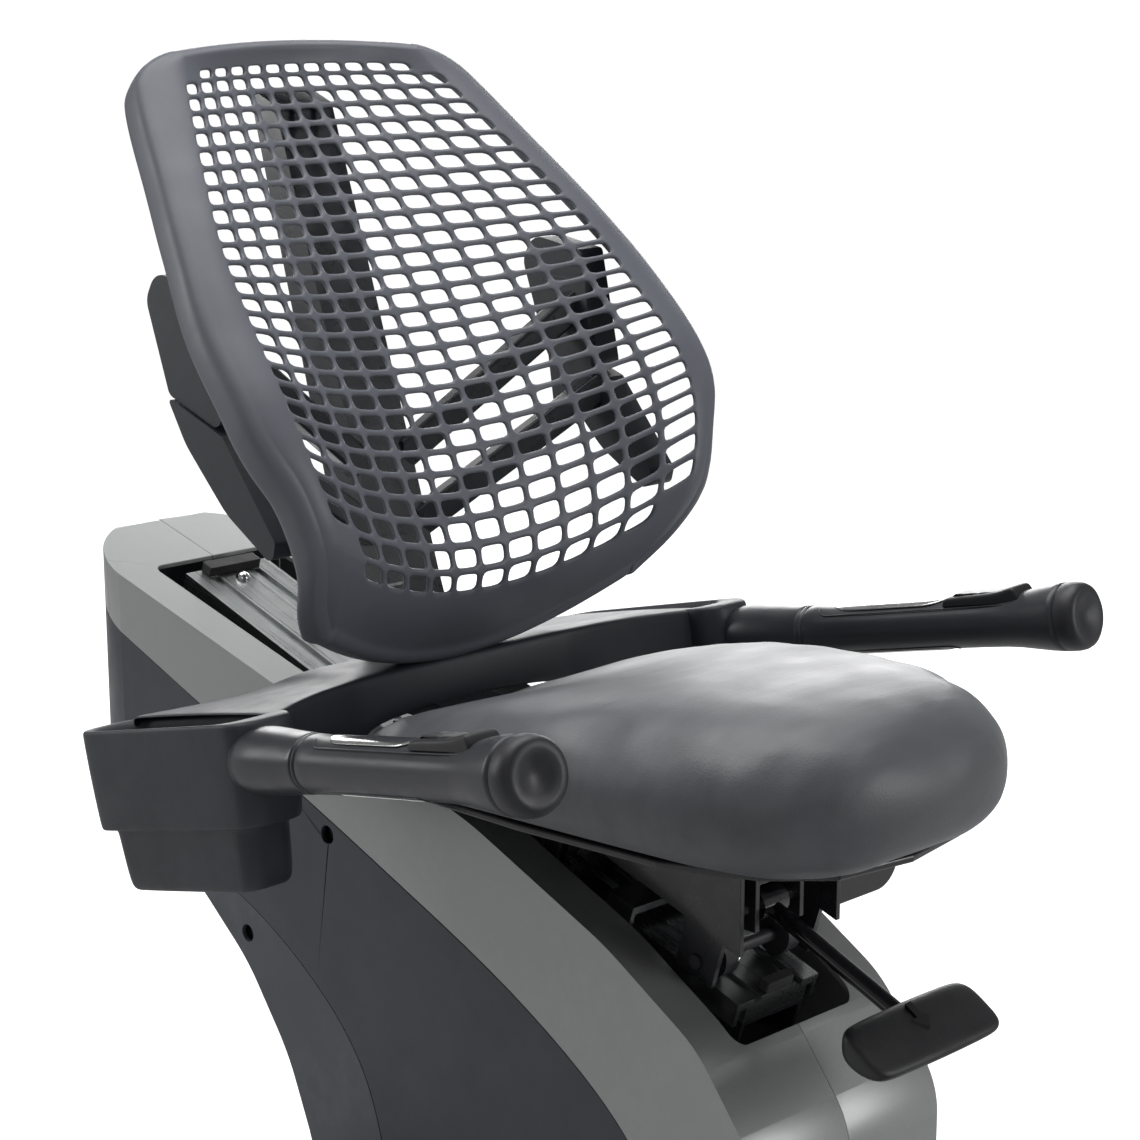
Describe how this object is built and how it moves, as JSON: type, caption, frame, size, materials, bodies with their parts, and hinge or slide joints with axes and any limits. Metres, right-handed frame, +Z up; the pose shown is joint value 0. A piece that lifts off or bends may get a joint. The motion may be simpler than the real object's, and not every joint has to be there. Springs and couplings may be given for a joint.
{
  "type": "recumbent exercise bike",
  "caption": "Recumbent exercise bike with a perforated backrest, padded seat sliding on a sloping rail, side pods and handles, and a pedal drive with a console mast.",
  "frame": {"origin": "on the floor, under the middle of the bounding box", "axes": "+Z up, -Y the way the rider faces, +X to the rider's left"},
  "size_m": [0.64, 1.6, 1.2892],
  "materials": {
    "grey_steel": "satin",
    "dark_plastic": "fine texture",
    "rubber": "matte",
    "wheel_plastic": "matte",
    "charcoal_plastic": "satin",
    "silver_shell": "silver metallic paint, satin",
    "fin_grey": "satin",
    "dark_steel": "black powder coat",
    "rail_aluminium": "drawn, bright",
    "scale_black": "matte",
    "chrome": "polished",
    "rail_steel": "zinc plated",
    "black_gloss": "gloss black",
    "black_plastic": "fine texture",
    "cushion_skin": "soft sheen",
    "pod_plastic": "satin",
    "grip_plastic": "satin",
    "cap_plastic": "matte",
    "key_rubber": "satin",
    "sensor_steel": "polished",
    "back_plastic": "satin",
    "frame_dark": "black powder coat",
    "bearing_steel": "machined",
    "crank_metal": "satin black",
    "pedal_plastic": "matte",
    "iron": "machined rim",
    "belt_rubber": "matte",
    "foam": "foam",
    "console_plastic": "satin",
    "screen": "glossy"
  },
  "bodies": {
    "frame": {"base_beam": "grey_steel", "front_stabilizer": "grey_steel", "rear_stabilizer": "grey_steel", "stabilizer_end_caps": "dark_plastic", "levelling_feet": "rubber", "step_cover": "charcoal_plastic", "tower_shell_left": "silver_shell", "tower_shell_right": "silver_shell", "tower_rear_cap": "silver_shell", "side_panels": "charcoal_plastic", "rear_fins": "fin_grey", "tower_screws": "dark_steel", "tower_frame": "dark_steel", "seat_rail": "rail_aluminium", "rail_scale": "scale_black", "rail_screws": "chrome", "rail_end_stops": "rubber", "front_shell_left": "charcoal_plastic", "front_shell_right": "charcoal_plastic", "drive_frame": "grey_steel", "crank_bearings": "bearing_steel", "drive_belt": "belt_rubber", "mast_tube": "grey_steel", "mast_cover": "dark_plastic", "front_handlebar": "grey_steel", "front_grips": "foam"},
    "seat": {"carriage_bracket": "dark_steel", "hook_plate": "dark_steel", "lever_pin": "chrome", "seat_pan": "dark_steel", "seat_cushion": "cushion_skin", "seat_bridge": "pod_plastic", "side_pods": "pod_plastic", "handle_tubes": "rail_steel", "handle_collars": "grip_plastic", "handle_grips": "grip_plastic", "grip_caps": "cap_plastic", "key_pods": "black_plastic", "pulse_sensors": "sensor_steel", "backrest_panel": "back_plastic", "back_frame": "frame_dark", "back_wings": "dark_plastic"},
    "front_roller": {"front_roller": "wheel_plastic"},
    "rear_roller": {"rear_roller": "wheel_plastic"},
    "lock": {"lock_shoe": "rail_steel"},
    "lever": {"lever_rod": "black_gloss", "lever_handle": "black_plastic"},
    "key_left": {"rocker_key_left": "key_rubber"},
    "key_right": {"rocker_key_right": "key_rubber"},
    "crank": {"crank_axle": "bearing_steel", "drive_pulley": "wheel_plastic", "crank_arms": "crank_metal"},
    "pedal_left": {"pedal_left": "pedal_plastic"},
    "pedal_right": {"pedal_right": "pedal_plastic"},
    "flywheel": {"flywheel": "iron"},
    "brake_arm": {"brake_arm": "bearing_steel"},
    "wheel_left": {"transport_wheel_left": "wheel_plastic"},
    "wheel_right": {"transport_wheel_right": "wheel_plastic"},
    "console": {"console_housing": "console_plastic", "console_screen": "screen"}
  },
  "joints": [
    {"name": "seat_slide", "type": "slide", "parent": "frame", "child": "seat", "axis": [0, 0.9548, 0.2974], "range_m": [-0.01, 0.27]},
    {"name": "front_roller_spin", "type": "hinge", "parent": "seat", "child": "front_roller", "pos_m": [0, 0.12404, 0.41356], "axis": [1, 0, 0], "range_deg": [-60, 1100]},
    {"name": "rear_roller_spin", "type": "hinge", "parent": "seat", "child": "rear_roller", "pos_m": [0, 0.27299, 0.45995], "axis": [1, 0, 0], "range_deg": [-60, 1100]},
    {"name": "lever_pivot", "type": "hinge", "parent": "seat", "child": "lever", "pos_m": [0, 0.109, 0.447], "axis": [-1, 0, 0], "range_deg": [0, 5.5], "stiffness_Nm_per_rad": 4, "springref_deg": -14.32},
    {"name": "lock_slide", "type": "slide", "parent": "seat", "child": "lock", "axis": [0, 0.2974, -0.9548], "range_m": [0, 0.007]},
    {"name": "key_left_rock", "type": "hinge", "parent": "seat", "child": "key_left", "pos_m": [0.26634, 0.13372, 0.60926], "axis": [0.9989, 0.0473, 0], "range_deg": [-2, 2], "stiffness_Nm_per_rad": 0.2},
    {"name": "key_right_rock", "type": "hinge", "parent": "seat", "child": "key_right", "pos_m": [-0.26634, 0.13372, 0.60926], "axis": [0.9989, -0.0473, 0], "range_deg": [-2, 2], "stiffness_Nm_per_rad": 0.2},
    {"name": "crank_spin", "type": "hinge", "parent": "frame", "child": "crank", "pos_m": [0, -0.473, 0.33], "axis": [1, 0, 0], "continuous": true},
    {"name": "pedal_left_spin", "type": "hinge", "parent": "crank", "child": "pedal_left", "pos_m": [0.158, -0.3905, 0.18711], "axis": [1, 0, 0], "continuous": true},
    {"name": "pedal_right_spin", "type": "hinge", "parent": "crank", "child": "pedal_right", "pos_m": [-0.158, -0.5555, 0.47289], "axis": [1, 0, 0], "continuous": true},
    {"name": "flywheel_spin", "type": "hinge", "parent": "frame", "child": "flywheel", "pos_m": [0, -0.655, 0.262], "axis": [1, 0, 0], "continuous": true},
    {"name": "brake_swing", "type": "hinge", "parent": "frame", "child": "brake_arm", "pos_m": [-0.01, -0.77, 0.2155], "axis": [1, 0, 0], "range_deg": [0, 4]},
    {"name": "wheel_left_spin", "type": "hinge", "parent": "frame", "child": "wheel_left", "pos_m": [0.2, -0.77, 0.031], "axis": [1, 0, 0], "continuous": true},
    {"name": "wheel_right_spin", "type": "hinge", "parent": "frame", "child": "wheel_right", "pos_m": [-0.2, -0.77, 0.031], "axis": [1, 0, 0], "continuous": true},
    {"name": "console_tilt", "type": "hinge", "parent": "frame", "child": "console", "pos_m": [0, -0.56, 1.168], "axis": [1, 0, 0], "range_deg": [-15, 15]}
  ],
  "couplings": [
    {"joint": "front_roller_spin", "follows": "seat_slide", "rad_per_m": 66.667},
    {"joint": "rear_roller_spin", "follows": "seat_slide", "rad_per_m": 66.667},
    {"joint": "lock_slide", "follows": "lever_pivot", "m_per_rad": 0.07292},
    {"joint": "flywheel_spin", "follows": "crank_spin", "ratio": 7}
  ]
}
